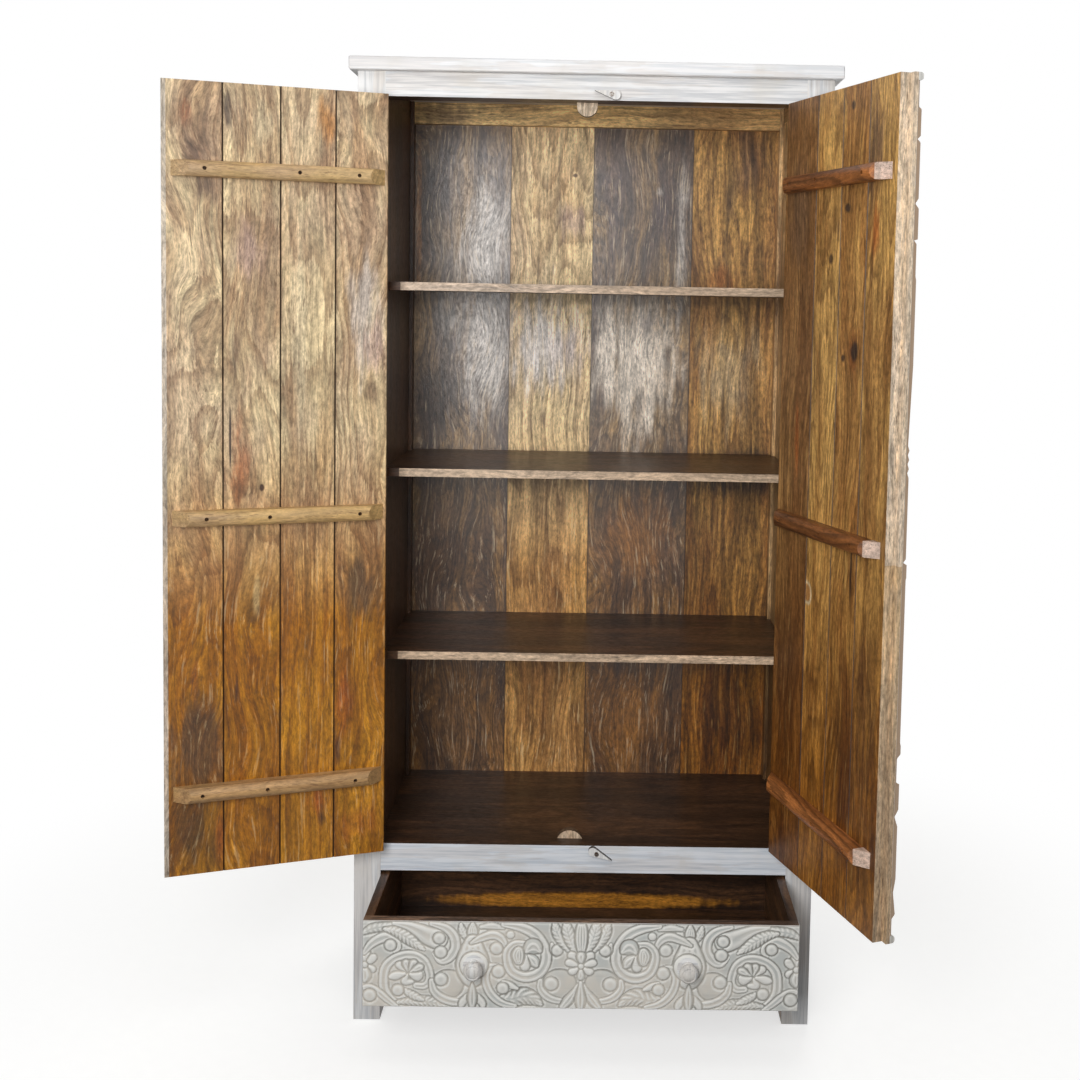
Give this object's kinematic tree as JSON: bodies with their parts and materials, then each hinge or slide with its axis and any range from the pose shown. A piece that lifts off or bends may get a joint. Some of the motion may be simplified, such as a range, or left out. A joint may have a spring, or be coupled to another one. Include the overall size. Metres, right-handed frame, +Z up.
{
  "type": "storage cabinet",
  "caption": "Tall whitewashed wooden storage cabinet with two lapped plank doors on butt hinges, shelves behind them, turn-catches and a carved drawer below.",
  "frame": {"origin": "middle of the footprint of the four posts, on the floor", "axes": "+X to the cabinet's right as seen from the front, +Y from the front to the back, +Z up; the front faces -Y"},
  "size_m": [1.2951, 0.8201, 1.875],
  "materials": {
    "whitewashed_wood": "thin chalky whitewash with the grain showing through in grey",
    "golden_wood": "figured golden brown planks with a low satin oil or wax",
    "dark_wood": "dark red-brown stained half-round battens",
    "steel": "dull steel hinges, pins and screws"
  },
  "bodies": {
    "carcass": {"cornice_board": "whitewashed_wood", "front_left_post": "whitewashed_wood", "front_right_post": "whitewashed_wood", "back_left_post": "whitewashed_wood", "back_right_post": "whitewashed_wood", "top_rail": "whitewashed_wood", "mid_rail": "whitewashed_wood", "left_side_top_rail": "whitewashed_wood", "right_side_top_rail": "whitewashed_wood", "left_side_low_rail": "whitewashed_wood", "right_side_low_rail": "whitewashed_wood", "left_side_panel": "whitewashed_wood", "right_side_panel": "whitewashed_wood", "back_top_rail": "golden_wood", "back_low_rail": "golden_wood", "back_plank_1": "golden_wood", "back_plank_2": "golden_wood", "back_plank_3": "golden_wood", "back_plank_4": "golden_wood", "cabinet_floor": "golden_wood", "lower_shelf": "golden_wood", "middle_shelf": "golden_wood", "upper_shelf": "golden_wood", "upper_door_stop": "golden_wood", "lower_door_stop": "golden_wood", "left_drawer_runner": "golden_wood", "right_drawer_runner": "golden_wood", "hinge_frame_leaves": "steel", "hinge_pins": "steel", "upper_catch_screw": "steel", "lower_catch_screw": "steel"},
    "left_door": {"left_door_plank_1": "golden_wood", "left_door_plank_2": "golden_wood", "left_door_plank_3": "golden_wood", "left_door_plank_4": "golden_wood", "left_door_upper_batten": "golden_wood", "left_door_middle_batten": "golden_wood", "left_door_lower_batten": "golden_wood", "left_door_batten_screws": "steel", "left_door_hinge_leaves": "steel"},
    "right_door": {"right_door_plank_1": "golden_wood", "right_door_plank_2": "golden_wood", "right_door_plank_3": "golden_wood", "right_door_plank_4": "golden_wood", "right_door_upper_batten": "dark_wood", "right_door_middle_batten": "dark_wood", "right_door_lower_batten": "dark_wood", "right_door_batten_screws": "steel", "right_door_hinge_leaves": "steel"},
    "drawer": {"drawer_front": "whitewashed_wood", "drawer_left_knob": "whitewashed_wood", "drawer_right_knob": "whitewashed_wood", "drawer_left_side": "golden_wood", "drawer_right_side": "golden_wood", "drawer_back": "golden_wood", "drawer_bottom": "golden_wood"},
    "upper_catch": {"upper_catch": "whitewashed_wood"},
    "lower_catch": {"lower_catch": "whitewashed_wood"}
  },
  "joints": [
    {"name": "left_door_hinge", "type": "hinge", "parent": "carcass", "child": "left_door", "pos_m": [-0.3965, -0.2195, 1.081], "axis": [0, 0, 1], "range_deg": [-14, 161]},
    {"name": "right_door_hinge", "type": "hinge", "parent": "carcass", "child": "right_door", "pos_m": [0.3965, -0.2195, 1.081], "axis": [0, 0, -1], "range_deg": [-65.5, 109.5]},
    {"name": "drawer_slide", "type": "slide", "parent": "carcass", "child": "drawer", "axis": [0, -1, 0], "range_m": [-0.211, 0.1]},
    {"name": "upper_catch_turn", "type": "hinge", "parent": "carcass", "child": "upper_catch", "pos_m": [0.028, -0.2198, 1.8145], "axis": [0, -1, 0], "continuous": true},
    {"name": "lower_catch_turn", "type": "hinge", "parent": "carcass", "child": "lower_catch", "pos_m": [0.025, -0.2198, 0.346], "axis": [0, -1, 0], "continuous": true}
  ]
}
